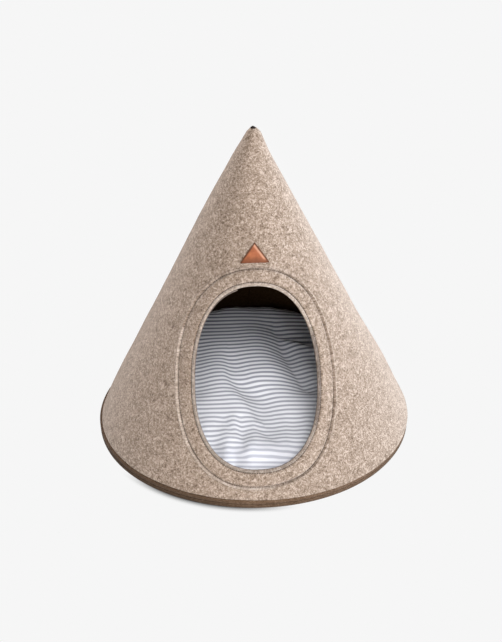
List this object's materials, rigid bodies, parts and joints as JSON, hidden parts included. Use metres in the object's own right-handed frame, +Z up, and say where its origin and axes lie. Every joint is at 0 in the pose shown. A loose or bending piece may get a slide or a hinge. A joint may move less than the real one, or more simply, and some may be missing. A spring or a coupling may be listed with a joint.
{
  "type": "dog teepee bed",
  "caption": "Cone-shaped felt pet cave on a round felt base, with an oval stitched doorway, a striped filled cushion inside and a bare leather triangle above the door.",
  "frame": {"origin": "centre of the underside of the round base, on the floor", "axes": "+Z up towards the apex, the doorway faces -Y"},
  "size_m": [0.5211, 0.521, 0.513],
  "materials": {
    "beige_felt": "mottled melange wool felt",
    "brown_felt": "dark brown felt",
    "ticking": "white cotton with fine grey-blue stripes",
    "tan_leather": "waxed tan leather with darkened edges"
  },
  "bodies": {
    "root": {"base_disc": "brown_felt", "hem_ring": "brown_felt", "cone_wall": "beige_felt", "door_facing": "beige_felt", "cushion": "ticking", "label": "tan_leather", "apex_tip": "brown_felt"}
  },
  "joints": []
}
